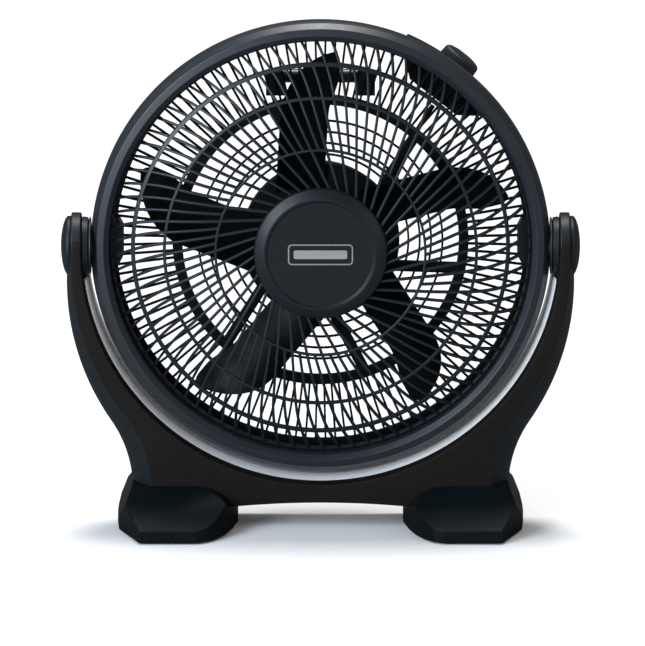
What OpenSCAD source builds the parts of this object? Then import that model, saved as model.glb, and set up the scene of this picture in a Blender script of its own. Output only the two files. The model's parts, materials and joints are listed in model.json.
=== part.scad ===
// Round floor fan: a drum-shaped head with a domed guard, tilting between the arms of a cradle.
// Origin: on the floor, under the middle of the tilt axis. +Z is up and the front faces -Y.

/* [Head] */
// Outer radius of the front ring
head_r = 232; // [190:1:280]
// Radial width of the front ring, from its outer edge to the opening
ring_w = 18.6; // [16:0.1:26]
// Distance of the ring's face in front of the tilt axis
ring_face = 22; // [18:0.5:30]
// Distance of the seam between ring and drum behind the tilt axis
seam = 8; // [7:0.5:10]
// Distance of the drum's back flange behind the tilt axis
drum_back = 30; // [29:0.5:36]
// How much smaller in radius the drum is at its back
drum_taper = 9; // [8:0.5:11]
// Wall of the moulded covers
wall = 2.6; // [2:0.1:3.2]

/* [Guard] */
// Bars that run from the hub plate to the rim
guard_bars = 43; // [36:1:46]
// Width of a guard bar
bar_w = 2.4; // [2:0.1:3]
// Depth of a guard bar, front to back
bar_d = 4; // [3:0.1:5]
// Distance by which the straight bars miss the fan's axis
bar_offset = 35.3; // [20:0.1:45]
// Height of the guard's flat middle above the ring's face
dome_rise = 15; // [10:0.5:18]
// Radius of the guard's flat middle, and of its inner ring
flat_r = 105.4; // [85:0.1:112]
// Radius of the guard's hub plate
hub_plate_r = 65; // [60:0.5:68]
// Distance of the guard's outer ring inside the opening
outer_ring_in = 24.4; // [20:0.1:30]
// Distance of the guard's middle ring inside the opening
middle_ring_in = 56.4; // [45:0.1:62]

/* [Hub cap] */
// Radius of the hub cap
cap_r = 67.5; // [66:0.5:70]
// Width of the plain badge plate
badge_w = 66; // [40:1:72]
// Height of the plain badge plate
badge_h = 22; // [14:1:26]

/* [Rear grille] */
// Radial bars in the outer zone
rear_bars = 128; // [96:1:132]
// Width of a rear bar
rear_bar_w = 2.2; // [1.6:0.1:2.6]
// Outer radius of the strong band
band_r = 150; // [142:1:152]
// Radial width of the strong band
band_w = 10; // [7:0.5:12]
// Spacing of the thin rings inside the band
thin_pitch = 11.5; // [10:0.1:12]
// Number of thin rings
thin_rings = 4; // [2:1:4]
// Radius of the motor plate
plate_r = 80; // [78:0.5:84]
// Width of a strut
strut_w = 10.7; // [8:0.1:14]
// Distance by which the struts miss the fan's axis
strut_offset = 24; // [0:0.5:28]

/* [Impeller] */
// Number of blades
blades = 5; // [3:1:6]
// Gap between the blade tips and the ring's opening
tip_gap = 16.4; // [15:0.1:24]
// Chord of a blade in front view
blade_w = 48.5; // [36:0.5:52]
// Axial rise of a blade over its chord
blade_rise = 31; // [20:0.5:33]
// Thickness of a blade
blade_t = 2; // [1.6:0.1:2.6]
// Outer radius of the impeller's hub
hub_r = 56; // [52:0.5:60]

/* [Motor] */
// Radius of the stator stack
stator_r = 43; // [38:0.5:46]
// Radius of the rotor
rotor_r = 23.9; // [20:0.1:25]
// Radius of the motor shaft
shaft_r = 4; // [3:0.1:5]
// Radius of the rear motor cover
cover_r = 72; // [70:0.5:75]
// Distance of the rear motor cover's back behind the tilt axis
cover_back = 84; // [82:0.5:95]

/* [Speed switch] */
// Angle of the knob's axis above horizontal
knob_angle = 52; // [48:1:60]
// Radius of the knob
knob_r = 21; // [16:0.5:22]
// Height of the knob above the switch housing
knob_h = 12.5; // [11:0.5:14]
// Distance of the knob's axis behind the tilt axis
knob_back = 52; // [51:0.5:56]

/* [Stand] */
// Gap between the ring and the trim strip
head_gap = 4; // [4:0.1:8]
// Thickness of the trim strip
trim_t = 2.5; // [1.5:0.1:4]
// Width of an arm at the tilt axis, in front view
arm_w = 14.5; // [14:0.1:20]
// How far the cradle bulges beyond its arms lower down
belly = 3.5; // [0:0.1:6]
// Width of the slanted band between the cradle's front face and its side
lip_in = 18; // [10:0.5:20]
// Half the cradle's depth, and the radius of the arm tops
arm_r = 33.5; // [32:0.5:40]
// Thickness of the cradle below the head
cradle_t = 21.5; // [18:0.5:30]
// Clearance between the cradle and the floor
floor_clear = 27; // [22:0.5:45]
// Radius of the pivot caps
pivot_cap_r = 30; // [26:0.5:31]

/* [Feet] */
// Length of a foot, front to back
foot_l = 194; // [180:1:240]
// Distance of the foot's outer side from the middle
foot_out = 206; // [200:1:220]
// Height of a foot where the leg enters it
foot_h = 45; // [42:0.5:50]
// Height of the foot's front edge
foot_edge_h = 14; // [10:0.5:18]
// Height of the rubber pads
pad_h = 1.5; // [1:0.1:3]

/* [Fits] */
// Radial clearance of a running pin or shaft
run_fit = 0.05; // [0.03:0.01:0.1]
// Clearance around parts that are seated
seat_fit = 0.2; // [0.15:0.01:0.3]

/* [Hidden] */
$fn = 96;
eps = 0.01;
char_black = "#1b2227";
blue_black = "#24303a";
brown_black = "#2b2725";
silver = "#b9bcc4";
steel = "#9a9da2";

// Head, derived
open_r = head_r - ring_w;
dome_face = ring_face + dome_rise;
guard_rim_r = open_r - seat_fit;
guard_rim_face = 2;
dome_span = guard_rim_r - flat_r;
dome_sag = dome_face - guard_rim_face;
dome_R = (dome_span * dome_span + dome_sag * dome_sag) / (2 * dome_sag);
drum_r = head_r - drum_taper;
lead_r = open_r + 5;
post_r = open_r + 6;
post_w = 3.7;
ring_post_angles = [45, 105, 165, 225, 285, 345];
guard_post_angles = [15, 75, 135, 195, 255, 315];
rear_rim_r = open_r + 0.6;
rear_rim_in = rear_rim_r - 10;
rear_front = 22;
rear_screw_r = rear_rim_r - 3.5;
rear_screw_angles = [30, 90, 150, 210, 270, 330];
flange_in = rear_rim_r - 7;
strut_angles = [58, 118, 178, 238, 298, 358];

// Stand, derived
trim_r = head_r + head_gap;
cradle_in_r = trim_r + trim_t;
cradle_out_r = cradle_in_r + arm_w;
arc_drop = 10.7;
belly_drop = 38;
front_drop = 14;
leg_seat = 12;
leg_fillet = 130;
pivot_h = cradle_in_r + cradle_t + floor_clear;
arch_R = 943;
shell_step = 12;
neck_r = 14;
bolt_r = 6;
boss_face = trim_r - 2.4;
journal_face = boss_face + 1;
washer_t = 1.2;
flange_face = journal_face + 0.3 + washer_t;
trim_hole_r = 20;
bush_r = 8;
cap_seat = cradle_out_r - 3.2;

// Impeller and motor, derived
tip_r = open_r - tip_gap;
blade_back = -18;
plate_t = 3;
stack_front = -40;
stack_back = -62;
bell_wall = 3;
bell_r = stator_r + bell_wall;
bolt_circle = stator_r - 3.5;
bearing_r = 11;
bearing_w = 7;

// ---- Helpers ------------------------------------------------------------------------------

// Head parts are drawn with z along the fan's axis, positive towards the front.
module on_head() {
  translate([0, 0, pivot_h]) rotate([90, 0, 0]) children();
}

// Local x outwards along the tilt axis, on one side of the stand (side is 1 right, -1 left).
module on_pivot(side) {
  translate([0, 0, pivot_h]) rotate([0, side > 0 ? 0 : 180, 0]) rotate([0, 90, 0]) children();
}

module tube(r_out, r_in, z0, z1) {
  translate([0, 0, z0]) difference() {
    cylinder(h = z1 - z0, r = r_out);
    translate([0, 0, -1]) cylinder(h = z1 - z0 + 2, r = r_in);
  }
}

module rod(r, z0, z1) {
  translate([0, 0, z0]) cylinder(h = z1 - z0, r = r);
}

// A pan-head screw along +z with its head below z = 0 and a cross recess.
module screw(r, len, head_r, head_h) {
  difference() {
    union() {
      rod(head_r, -head_h, 0);
      rod(r, -eps, len);
    }
    for (turn = [0, 90])
      rotate(turn) translate([-head_r * 0.6, -0.5, -head_h - 1]) cube([head_r * 1.2, 1, 1 + head_h * 0.6]);
  }
}

module ring_of(angles, r) {
  for (a = angles) rotate(a) translate([r, 0, 0]) children();
}

function arc_points(cx, cy, r, a0, a1, n) =
  [for (i = [0:n]) let (a = a0 + (a1 - a0) * i / n) [cx + r * cos(a), cy + r * sin(a)]];

// Front surface of the guard at a radius: flat in the middle, then an arc down to the rim.
function dome_at(r) =
  r <= flat_r ? dome_face : dome_face - dome_R + sqrt(dome_R * dome_R - (r - flat_r) * (r - flat_r));

// ---- Head: covers and guards ---------------------------------------------------------------

module front_ring() {
  skin = [
    [open_r, -2], [open_r, ring_face - 5], [open_r + 5, ring_face], [head_r - 6.5, ring_face - 1.5]
  ];
  outside = arc_points(head_r - 8, ring_face - 10.5, 8, 70, 0, 6);
  back = [[head_r, -seam], [head_r - wall, -seam], [head_r - wall, ring_face - 10.5]];
  inside = [[head_r - 8, ring_face - 4.6], [open_r + 5.6, ring_face - 3], [open_r + wall, ring_face - 6]];
  color(char_black) on_head() difference() {
    union() {
      rotate_extrude($fn = 180) polygon(concat(skin, outside, back, inside, [[open_r + wall, -2]]));
      ring_of(ring_post_angles, post_r) rod(post_w, -seam, ring_face - 2.8);
      ring_of(guard_post_angles, post_r) rod(post_w, -1.9, ring_face - 2.8);
    }
    ring_of(ring_post_angles, post_r) rod(1.4, -seam - 1, 8);
    ring_of(guard_post_angles, post_r) rod(1.4, -3, 8);
    for (a = [0, 180]) rotate(a) rotate([0, 90, 0]) rod(neck_r + seat_fit, open_r + wall, head_r + 5);
  }
}

function bar_side(s0, s1, span0, lift, n) =
  [for (i = [0:n]) let (s = s0 + (s1 - s0) * i / n) [s, dome_at(sqrt(s * s + bar_offset * bar_offset)) - lift]];

// One straight bar that misses the axis; r_in is where it starts.
module guard_bar(r_in, turn) {
  s_in = sqrt(r_in * r_in - bar_offset * bar_offset);
  s_flat = sqrt(flat_r * flat_r - bar_offset * bar_offset);
  s_rim = sqrt(pow(guard_rim_r - 2, 2) - bar_offset * bar_offset);
  front = concat([[s_in, dome_face]], bar_side(s_flat, s_rim, 0, 0, 6));
  back = concat([[s_in, dome_face - bar_d]], bar_side(s_flat, s_rim, 0, bar_d, 6));
  n = len(back) - 1;
  outline = concat(front, [for (i = [0:n]) back[n - i]]);
  rotate(turn) translate([0, bar_w / 2 - bar_offset, 0]) rotate([90, 0, 0]) linear_extrude(bar_w)
    polygon(outline);
}

module front_grille() {
  step = 360 / guard_bars;
  first = 5.86;
  rings = [[flat_r, 2.4], [open_r - middle_ring_in, 3], [open_r - outer_ring_in, 4]];
  color(blue_black) on_head() {
    for (k = [0:guard_bars - 1]) {
      guard_bar(hub_plate_r - 3, first + k * step);
      guard_bar(flat_r, first + (k + 0.5) * step);
    }
    for (ring = rings) {
      r_out = ring[0] + ring[1] / 2;
      r_in = ring[0] - ring[1] / 2;
      tube(r_out, r_in, dome_at(r_out) - bar_d - 0.5, dome_at(r_in) + 0.4);
    }
    rod(hub_plate_r, dome_face - 5, dome_face - 1);
    difference() {
      union() {
        tube(guard_rim_r, guard_rim_r - 3.6, -6, guard_rim_face);
        for (a = guard_post_angles) rotate(a) translate([0, 0, -5]) linear_extrude(3 - 0.1) {
          translate([post_r, 0]) circle(4.6);
          translate([guard_rim_r - 2, -3.4]) square([post_r - guard_rim_r + 2, 6.8]);
        }
      }
      ring_of(guard_post_angles, post_r) rod(1.7, -6, 0);
    }
  }
}

module hub_cap() {
  face = dome_face + 6.5;
  profile = concat(
    [[0, face], [53.5, face], [54.5, face + 1], [57.5, face + 1], [59, face - 0.6]],
    arc_points(cap_r - 5, face - 7, 5, 75, 0, 5),
    [[cap_r, dome_face + eps], [cap_r - wall, dome_face + eps], [cap_r - wall, face - 6]],
    [[cap_r - 8, face - wall - 1], [0, face - wall]]
  );
  color(char_black) on_head() {
    difference() {
      rotate_extrude($fn = 180) polygon(profile);
      translate([-badge_w / 2, -badge_h / 2, face - 1]) cube([badge_w, badge_h, 3]);
    }
    for (a = [90, 210, 330]) rotate(a) translate([48, -5, dome_face - 1]) cube([6, 10, 5]);
  }
}

module badge_plate() {
  face = dome_face + 6.5;
  corner = 4;
  module plate(w, h) {
    square([w, h - 2 * corner], center = true);
    square([w - 2 * corner, h], center = true);
    for (x = [-1, 1], y = [-1, 1]) translate([x * (w / 2 - corner), y * (h / 2 - corner)]) circle(corner, $fn = 32);
  }
  gap = 2 * seat_fit;
  color(steel) on_head() {
    translate([0, 0, face - 1]) linear_extrude(1.4) plate(badge_w - gap, badge_h - gap);
    translate([0, 0, face + 0.4]) linear_extrude(0.6) difference() {
      plate(badge_w - gap, badge_h - gap);
      square([badge_w - 2 * corner, badge_h - 6], center = true);
    }
  }
}

module drum() {
  back_in = drum_r - wall;
  profile = [
    [head_r - 0.4, -seam], [head_r - 3, -seam - 12], [drum_r, -drum_back], [flange_in, -drum_back],
    [flange_in, -drum_back + wall], [back_in, -drum_back + wall], [head_r - 3 - wall, -seam - 11.4],
    [head_r - 0.4 - wall, -seam]
  ];
  color(char_black) on_head() difference() {
    union() {
      rotate_extrude($fn = 180) polygon(profile);
      ring_of(ring_post_angles, post_r) rod(post_w, -drum_back + wall - 0.4, -seam);
    }
    ring_of(ring_post_angles, post_r) rod(1.7, -drum_back - 1, 0);
    ring_of(ring_post_angles, post_r) rod(3.4, -drum_back - 1, -drum_back + 3);
    ring_of(rear_screw_angles, rear_screw_r) rod(1.7, -drum_back - 1, 0);
    rotate(knob_angle) for (y = [-38, 38]) translate([drum_r - 12, y, 0]) rod(1.7, -drum_back - 1, 0);
    for (a = [0, 180]) rotate(a) rotate([0, 90, 0]) rod(neck_r + seat_fit, open_r + wall, head_r + 5);
  }
}

// Pad on the rear grille that carries one end of the handle.
module handle_pad(side) {
  translate([side * 45.5 - 9.5, 149, -29]) cube([19, 25, 5]);
}

module rear_grille() {
  bar_back = -28;
  ring_back = -27;
  thin_w = 2.2;
  color("#0e1316") on_head() difference() {
    union() {
      translate([0, 0, bar_back]) linear_extrude(4) {
        for (k = [0:rear_bars - 1])
          rotate((k + 0.5) * 360 / rear_bars)
            translate([band_r - 3, -rear_bar_w / 2]) square([rear_rim_in - band_r + 6, rear_bar_w]);
      }
      tube(rear_rim_r, rear_rim_in, -drum_back + wall, -rear_front);
      tube(band_r, band_r - band_w, -drum_back, -rear_front);
      for (i = [0:thin_rings - 1]) {
        r = plate_r + 9 + i * thin_pitch;
        tube(r + thin_w / 2, r - thin_w / 2, ring_back, -24);
      }
      tube(plate_r, 19, -rear_front - plate_t, -rear_front);
      tube(plate_r, plate_r - 3, -drum_back, -rear_front);
      s_in = sqrt(pow(plate_r - 1.5, 2) - pow(strut_offset + strut_w / 2, 2));
      s_out = sqrt(pow(band_r - 3, 2) - pow(strut_offset + strut_w / 2, 2));
      for (a = strut_angles)
        rotate(a) translate([s_in, -strut_offset - strut_w / 2, -drum_back + 0.4]) cube([s_out - s_in, strut_w, 7.2]);
      for (side = [-1, 1]) handle_pad(side);
    }
    ring_of([45, 135, 225, 315], 51) rod(1.7, -40, 0);
    ring_of([90, 210, 330], plate_r - 1.5 - 3) rod(1, -40, -rear_front - plate_t + 0.5);
    ring_of(rear_screw_angles, rear_screw_r) rod(1.4, -40, -24);
    for (side = [-1, 1], y = [155, 168]) translate([side * 45.5, y, 0]) rod(1.4, -40, -25);
  }
}

module pivot_boss() {
  on_pivot(1) difference() {
    union() {
      difference() {
        rod(pivot_cap_r, head_r - 6, boss_face);
        rotate([0, -90, 0]) rotate([90, 0, 0]) translate([0, 0, -60]) cylinder(h = 120, r = head_r + eps, $fn = 180);
      }
      rod(neck_r, open_r + wall, boss_face);
      rod(17, boss_face - eps, journal_face);
      intersection() {
        rod(pivot_cap_r - 2, open_r - 14, open_r + 5);
        translate([-50, seam + 0.5, open_r - 20]) cube([100, rear_front - seam - 1, 60]);
      }
    }
    rod(bolt_r + run_fit, open_r + 10, head_r + 10);
    rod(10.8, open_r + wall - 1, open_r + 13);
  }
}

module pivot_boss_right() {
  color(char_black) pivot_boss();
}

module pivot_boss_left() {
  color(char_black) mirror([1, 0, 0]) pivot_boss();
}

// ---- Head: fasteners -----------------------------------------------------------------------

module ring_screws() {
  color(steel) on_head() ring_of(ring_post_angles, post_r) translate([0, 0, -drum_back + 3]) screw(1.4, 34, 3.2, 2.2);
}

module guard_screws() {
  color(steel) on_head() ring_of(guard_post_angles, post_r) translate([0, 0, -5]) screw(1.4, 12, 3, 2);
}

module rear_grille_screws() {
  color(steel) on_head() ring_of(rear_screw_angles, rear_screw_r) translate([0, 0, -drum_back]) screw(1.4, 5.5, 3, 2);
}

// ---- Head: motor ---------------------------------------------------------------------------

module motor_front_bell() {
  front = -rear_front - plate_t;
  color(steel) on_head() difference() {
    union() {
      tube(58, 9, front - 3, front);
      tube(bell_r, bell_r - bell_wall, stack_front, front - 3 + eps);
      tube(bearing_r + 3, bearing_r + seat_fit / 4, front - 3 - bearing_w - 1, front - 3 + eps);
    }
    ring_of([45, 135, 225, 315], 51) rod(1.7, -50, 0);
    ring_of([0, 90, 180, 270], bolt_circle) rod(2.1, -50, front - 3 + 2);
    ring_of([20:40:340], 34) rod(3.6, -50, 0);
  }
}

module motor_rear_bell() {
  color(steel) on_head() difference() {
    union() {
      tube(bell_r, 9, stack_back - 14, stack_back - 11);
      tube(bell_r, bell_r - bell_wall, stack_back - 11 - eps, stack_back);
      tube(bearing_r + 3, bearing_r + seat_fit / 4, stack_back - 11 - eps, stack_back - 3);
    }
    ring_of([0, 90, 180, 270], bolt_circle) rod(2.1, -90, 0);
    ring_of([20:40:340], 27) rod(4, -90, 0);
  }
}

module stator_stack() {
  slots = 16;
  bore_r = rotor_r + 0.6;
  color("#77797c") on_head() difference() {
    tube(stator_r, bore_r, stack_back, stack_front);
    ring_of([for (i = [0:slots - 1]) i * 360 / slots + 5], 31) rod(3.2, stack_back - 1, stack_front + 1);
    ring_of([0, 90, 180, 270], bolt_circle) rod(2.1, stack_back - 1, stack_front + 1);
  }
}

module stator_windings() {
  slots = 16;
  color("#b5672c") on_head() {
    tube(35.5, 27, stack_front, stack_front + 4.5);
    tube(35.5, 27, stack_back - 4.5, stack_back);
    ring_of([for (i = [0:slots - 1]) i * 360 / slots + 5], 31) rod(2.9, stack_back - 1, stack_front + 1);
  }
}

module motor_bearings() {
  front = -rear_front - plate_t - 3;
  color(silver) on_head() {
    tube(bearing_r, shaft_r + run_fit, front - bearing_w, front - eps);
    tube(bearing_r, shaft_r + run_fit, stack_back - 11 + eps, stack_back - 11 + bearing_w);
  }
}

module motor_through_bolts() {
  back = stack_back - 14;
  color(steel) on_head()
    ring_of([0, 90, 180, 270], bolt_circle) translate([0, 0, back]) screw(1.9, -back - rear_front - plate_t - 3 + 1, 3.6, 2.4);
}

module motor_mount_screws() {
  color(steel) on_head()
    ring_of([45, 135, 225, 315], 51) translate([0, 0, -rear_front - plate_t - 3]) screw(1.6, 5.8, 3.2, 2);
}

module rear_motor_cover() {
  flange_back = -drum_back - 2.4;
  back_r = cover_r - 9;
  outside = concat(
    [[plate_r, -drum_back], [plate_r, flange_back], [cover_r, flange_back]],
    arc_points(back_r, -cover_back + 9, 9, 0, -90, 6),
    [[0, -cover_back]]
  );
  inside = concat(
    [[0, -cover_back + wall], [back_r, -cover_back + wall]],
    [[cover_r - wall, -cover_back + 9], [cover_r - wall, -drum_back]]
  );
  color(char_black) on_head() difference() {
    rotate_extrude($fn = 144) polygon(concat(outside, inside));
    for (i = [0:23]) rotate(i * 15) translate([34, -1.6, -cover_back - 1]) cube([24, 3.2, 5]);
    for (i = [0:11]) rotate(i * 30) translate([14, -1.6, -cover_back - 1]) cube([14, 3.2, 5]);
    ring_of([90, 210, 330], plate_r - 4.5) rod(1.7, -40, 0);
    rotate(58) translate([0, -strut_offset, -37]) rotate([0, 90, 0]) rod(3, 50, 90);
    rotate(-90) translate([0, 0, -66]) rotate([0, 90, 0]) rod(6 + seat_fit / 2, 60, 90);
  }
}

module cover_screws() {
  color(steel) on_head()
    ring_of([90, 210, 330], plate_r - 4.5) translate([0, 0, -drum_back - 2.4]) screw(1, 6, 2.6, 1.6);
}

module run_capacitor() {
  color("#d8d8d2") on_head() {
    translate([-16, -66, -52]) cube([32, 15, 19]);
    for (x = [-6, 6]) translate([x, -60, -56]) rod(0.9, 0, 4 + eps);
  }
}

// Internal lead that lies along one strut, from the motor to the switch.
module switch_lead() {
  color("#101315") on_head() rotate(58) translate([0, -strut_offset, -37]) rotate([0, 90, 0]) rod(2.5, 62, 176);
}

module lead_clips() {
  color(char_black) on_head() rotate(58) for (s = [92, 124]) translate([s, -strut_offset, 0]) difference() {
    translate([0, -5, -40.5]) cube([6, 10, 40.5 - drum_back]);
    translate([-1, 0, -37]) rotate([0, 90, 0]) rod(2.5 + seat_fit / 2, 0, 8);
  }
}

// ---- Head: switch and handle ---------------------------------------------------------------

module on_knob() {
  on_head() rotate(knob_angle) translate([0, 0, -knob_back]) children();
}

module switch_outline(inset) {
  intersection() {
    circle(drum_r - 1 - inset, $fn = 180);
    polygon([
      [drum_r - 38 + inset, -30 + inset], [drum_r - 22, -52 + 1.2 * inset], [drum_r + 5, -60 + 1.2 * inset],
      [drum_r + 5, 60 - 1.2 * inset], [drum_r - 22, 52 - 1.2 * inset], [drum_r - 38 + inset, 30 - inset]
    ]);
  }
}

module switch_housing() {
  deep = knob_back - drum_back + 22;
  color("#0b0f12") on_head() difference() {
    union() {
      difference() {
        rotate(knob_angle) translate([0, 0, -drum_back - deep]) linear_extrude(deep) switch_outline(0);
        rotate(knob_angle) translate([0, 0, -drum_back - deep + wall]) linear_extrude(deep) switch_outline(wall);
      }
      intersection() {
        rotate(knob_angle) translate([0, 0, -drum_back - deep]) linear_extrude(deep) switch_outline(0);
        rotate(knob_angle) for (y = [-38, 38]) translate([drum_r - 12, y, 0]) rod(4, -drum_back - deep, -drum_back);
      }
    }
    rotate(knob_angle) translate([0, 0, -knob_back]) rotate([0, 90, 0]) rod(5 + seat_fit / 2, drum_r - 8, drum_r + 4);
    rotate(knob_angle) for (y = [-38, 38]) translate([drum_r - 12, y, 0]) rod(1.7, -110, 0);
    rotate(58) translate([0, -strut_offset, -37]) rotate([0, 90, 0]) rod(2.5 + seat_fit, 150, 195);
  }
}

module rotary_switch() {
  seat = drum_r - 1 - wall - 0.4;
  color("#c9c4b4") on_knob() rotate([0, 90, 0]) {
    rod(14, seat - 18, seat);
    rod(5, seat - eps, drum_r + 2);
    rod(3, drum_r + 2 - eps, drum_r + knob_h - 3);
    for (a = [30, 150, 270]) rotate(a) translate([8, -2.4, seat - 24]) cube([0.8, 4.8, 6 + eps]);
  }
}

module switch_nut() {
  color(steel) on_knob() rotate([0, 90, 0]) difference() {
    translate([0, 0, drum_r - 1 + eps]) cylinder(h = 2.4, r = 7.5, $fn = 6);
    rod(5 + seat_fit / 4, drum_r - 3, drum_r + 6);
  }
}

module switch_housing_screws() {
  deep = knob_back - drum_back + 22;
  color(steel) on_head() rotate(knob_angle)
    for (y = [-38, 38]) translate([drum_r - 12, y, -drum_back - deep]) screw(1.5, deep + wall - 0.4, 3, 2);
}

module speed_knob() {
  bottom = drum_r + 0.8;
  top = drum_r + knob_h;
  flutes = 40;
  profile = concat(
    [[3 + run_fit, bottom + 3.4], [3 + run_fit, top - 2.4], [0, top - 2.4], [0, top]],
    arc_points(knob_r - 6, top - 6.4, 6, 80, 0, 6),
    [[knob_r, bottom], [9.5, bottom], [9.5, bottom + 3.4]]
  );
  color(blue_black) on_knob() rotate([0, 90, 0]) difference() {
    rotate_extrude($fn = 120) polygon(profile);
    ring_of([for (i = [0:flutes - 1]) i * 360 / flutes], knob_r + 0.35) rod(0.8, bottom - 1, top - 4);
    translate([-knob_r + 5, -0.8, top - 0.5]) cube([9, 1.6, 2]);
  }
}

module carry_handle() {
  grip_r = 7;
  grip_back = -66;
  color(char_black) on_head() {
    translate([-50, 161.5, grip_back]) rotate([0, 90, 0]) rod(grip_r, 0, 100);
    for (side = [-1, 1]) {
      translate([side * 50, 161.5, grip_back]) sphere(grip_r);
      difference() {
        translate([side * 45.5 - 9, 150, -33]) cube([18, 23, 4]);
        for (y = [155, 168]) translate([side * 45.5, y, 0]) rod(1.7, -40, 0);
      }
      translate([side * 50 - 5, 157.8, grip_back]) cube([8, 7.4, -33 - grip_back + eps]);
    }
  }
}

module handle_screws() {
  color(steel) on_head()
    for (side = [-1, 1], y = [155, 168]) translate([side * 45.5, y, -33]) screw(1.4, 7, 2.4, 1.6);
}

module cord_gland() {
  color("#0c0e0f") on_head() rotate(-90) translate([0, 0, -66]) rotate([0, 90, 0]) {
    tube(6, 3.6, cover_r - wall - 2, cover_r + 7);
    tube(8, 3.6, cover_r + 1, cover_r + 3);
    tube(7.4, 3.6, cover_r - wall - 2, cover_r - wall - 0.4);
  }
}

// ---- Impeller and shaft --------------------------------------------------------------------

// Front outline of one blade: straight leading side on x = 0, round trailing corner.
module blade_outline() {
  tip_corner = 9;
  round_r = 64;
  difference() {
    intersection() {
      translate([0, 30]) square([blade_w, tip_r]);
      union() {
        square([blade_w, tip_r - round_r]);
        translate([blade_w - round_r, tip_r - round_r]) circle(round_r);
      }
    }
    circle(hub_r - 1.5);
    translate([-1, tip_r - 12]) square([1 + tip_corner * 0.4, 14]);
  }
}

module blade() {
  chord = sqrt(blade_w * blade_w + blade_rise * blade_rise);
  camber = 6;
  curve_r = (chord * chord / 4 + camber * camber) / (2 * camber);
  lean = atan(blade_rise / blade_w);
  centre_x = blade_w / 2 - sin(lean) * (curve_r - camber);
  centre_z = blade_back + blade_rise / 2 + cos(lean) * (curve_r - camber);
  intersection() {
    translate([0, 0, blade_back - 6]) linear_extrude(blade_rise + 12) blade_outline();
    translate([centre_x, 0, centre_z]) rotate([-90, 0, 0]) tube(curve_r + blade_t / 2, curve_r - blade_t / 2, 20, tip_r + 10);
  }
}

module impeller() {
  hub_wall = 2.6;
  collar_r = 9;
  first = -3.5;
  color("#0c1412") on_head() difference() {
    union() {
      tube(hub_r, hub_r - hub_wall, -16, 22);
      tube(hub_r - 1, 7, 11, 13.5);
      rod(collar_r, -17, 13.5);
      for (i = [0:5]) rotate(i * 60) translate([collar_r - 1, -1, -8]) cube([hub_r - collar_r - 1, 2, 20]);
      for (k = [0:blades - 1]) rotate(first + k * 360 / blades) mirror([1, 0, 0]) blade();
    }
    rod(shaft_r + 0.02, -30, 30);
    translate([-10.5, -1.6, -18]) cube([21, 3.2, 9]);
  }
}

module motor_shaft() {
  color(silver) on_head() difference() {
    rod(shaft_r, -80, 21);
    translate([0, 0, -10.6]) rotate([0, 90, 0]) rod(1.5, -10, 10);
  }
}

module rotor_core() {
  color("#6d6f73") on_head() {
    tube(rotor_r, shaft_r, stack_back + 1, stack_front - 1);
    tube(rotor_r - 1, rotor_r - 6, stack_front - 1, stack_front + 1);
    tube(rotor_r - 1, rotor_r - 6, stack_back - 1, stack_back + 1);
  }
}

module drive_pin() {
  color(steel) on_head() translate([0, 0, -10.6]) rotate([0, 90, 0]) rod(1.5 - 0.02, -10, 10);
}

module spinner_nut() {
  color(char_black) on_head() difference() {
    union() {
      rod(13, 13.5, 17.5);
      rod(9, 17.5 - eps, 24);
      for (i = [0:5]) rotate(i * 60) translate([8, -1.2, 17.5 - eps]) cube([4, 2.4, 4]);
    }
    rod(shaft_r + 0.02, 12, 21.5);
  }
}

// ---- Stand ---------------------------------------------------------------------------------

// Leg on one side, blended into the cradle's outer circle by a hollow fillet.
// One leg, as seen from the front. Its points run anticlockwise on both sides.
module leg_outline(side, drop, out_r, leg_x) {
  reach = out_r + leg_fillet;
  fx = leg_x + leg_fillet;
  fy = -drop - sqrt(reach * reach - fx * fx);
  turn = atan2(-drop - fy, fx);
  bottom = leg_seat - pivot_h;
  inner = foot_out - 102;
  fillet = [
    for (i = [8:-1:1]) let (t = 180 - turn + turn * i / 8)
      [fx + leg_fillet * cos(t), max(bottom + 1, fy + leg_fillet * sin(t))]
  ];
  inside = [out_r * 0.985 * cos(turn), -drop - out_r * 0.985 * sin(turn)];
  points = concat([[inner, bottom], [leg_x, bottom]], fillet, [inside, [inner, -cradle_in_r + 40]]);
  last = len(points) - 1;
  polygon([for (i = [0:last]) let (p = points[side > 0 ? i : last - i]) [side * p[0], p[1]]]);
}

// Front outline of the cradle about the tilt axis. The front face is narrower than the middle.
module cradle_outline(is_front) {
  bottom = cradle_in_r + cradle_t;
  difference() {
    union() {
      translate([0, -arc_drop]) circle(cradle_out_r + (is_front ? -1.5 : 0), $fn = 180);
      if (!is_front) translate([0, -belly_drop]) circle(cradle_out_r + belly, $fn = 180);
      for (side = [-1, 1]) {
        if (is_front) leg_outline(side, front_drop, cradle_out_r - 2, foot_out - 15 - lip_in);
        else leg_outline(side, belly_drop, cradle_out_r + belly, foot_out - 15);
      }
    }
    circle(cradle_in_r, $fn = 180);
    translate([0, -bottom - arch_R]) circle(arch_R, $fn = 180);
  }
}

module scale_x(side) {
  if (side > 0) children();
  else mirror([1, 0]) children();
}

// Everything the two shells may fill: round arm tops, and no limit below the tilt axis.
module arm_envelope(r) {
  rotate([0, 90, 0]) translate([0, 0, -300]) cylinder(h = 600, r = r, $fn = 144);
  translate([-300, -pivot_h, -r]) cube([600, pivot_h, 2 * r]);
}

// z0 and z1 are depths along the fan's axis, positive towards the front.
module cradle_layer(z0, z1, is_front) {
  on_head() intersection() {
    translate([0, 0, z0]) linear_extrude(z1 - z0) cradle_outline(is_front);
    arm_envelope(arm_r);
  }
}

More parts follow.
